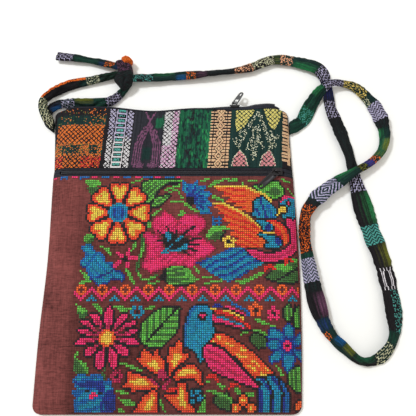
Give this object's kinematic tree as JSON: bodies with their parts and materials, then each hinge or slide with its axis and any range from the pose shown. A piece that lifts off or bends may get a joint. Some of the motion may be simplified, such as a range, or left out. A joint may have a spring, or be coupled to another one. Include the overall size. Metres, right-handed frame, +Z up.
{
  "type": "crossbody bag",
  "caption": "Flat zip-top cloth crossbody bag lying on its back, with an embroidered front, a striped upper band, a zipped front pocket and a knotted cloth strap.",
  "frame": {"origin": "middle of the bag's footprint without its strap, on the surface that its back lies on", "axes": "+Z up out of the bag's front, +Y towards the zipped mouth, +X to the right seen from the front"},
  "size_m": [0.3532, 0.3562, 0.0165],
  "materials": {
    "back_cloth": "plain maroon handwoven cotton",
    "panel_cloth": "maroon handwoven cotton with dense bright embroidery",
    "band_cloth": "dark striped tie-dyed cotton with raised brocade",
    "zip_tape": "black woven zip tape",
    "zip_coil": "black nylon coil",
    "slider_metal": "dark enamelled zip slider",
    "pocket_pull_metal": "black enamelled pull, worn at its edges",
    "top_pull_metal": "gunmetal pull, worn bright at its edges",
    "strap_cloth": "dark striped cotton strap with pale and bright woven bands"
  },
  "bodies": {
    "bag": {"back_panel": "back_cloth", "front_panel": "panel_cloth", "front_band": "band_cloth", "pocket_zip_tape_upper": "zip_tape", "pocket_zip_tape_lower": "zip_tape", "pocket_zip_chain": "zip_coil", "pocket_zip_slider": "slider_metal", "top_zip_tape_front": "zip_tape", "top_zip_tape_back": "zip_tape", "top_zip_chain": "zip_coil", "top_zip_coil_front": "zip_coil", "top_zip_coil_back": "zip_coil", "top_zip_slider": "slider_metal", "strap": "strap_cloth", "side_loop_upper": "strap_cloth", "side_loop_lower": "strap_cloth", "strap_tail": "strap_cloth", "strap_knot": "strap_cloth"},
    "pocket_pull": {"pocket_zip_pull": "pocket_pull_metal"},
    "top_pull": {"top_zip_pull": "top_pull_metal"}
  },
  "joints": [
    {"name": "pocket_pull_hinge", "type": "hinge", "parent": "bag", "child": "pocket_pull", "pos_m": [0.10279, 0.06708, 0.01331], "axis": [-0.669, 0.7431, 0.0129], "range_deg": [0, 165]},
    {"name": "top_pull_hinge", "type": "hinge", "parent": "bag", "child": "top_pull", "pos_m": [0.06273, 0.14086, 0.00839], "axis": [0.6691, -0.3913, 0.6318], "range_deg": [-30, 115]}
  ]
}
